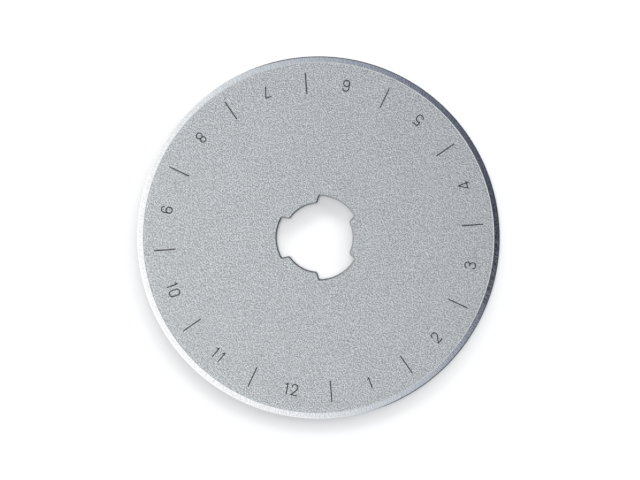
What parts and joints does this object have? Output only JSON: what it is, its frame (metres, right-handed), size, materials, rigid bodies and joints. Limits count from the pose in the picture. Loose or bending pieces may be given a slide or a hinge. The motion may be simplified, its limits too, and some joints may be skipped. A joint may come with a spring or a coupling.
{
  "type": "rotary cutter blade",
  "caption": "Thin round steel blade with a sharpened rim, a keyed centre bore with rounded lobes, and etched marks and numbers around the face.",
  "frame": {"origin": "on the blade's axis, in its mid-plane, which is also the plane of the cutting edge", "axes": "+Z along the blade's axis, out of the marked face; +X lies between two lobes of the bore, and the graduation marks start 4.64 degrees from it"},
  "size_m": [0.045, 0.045, 0.0004],
  "materials": {
    "blade_steel": "fine satin faces, ground bevel with faint radial grinding lines, honed edge"
  },
  "bodies": {
    "root": {"blade": "blade_steel"}
  },
  "joints": []
}
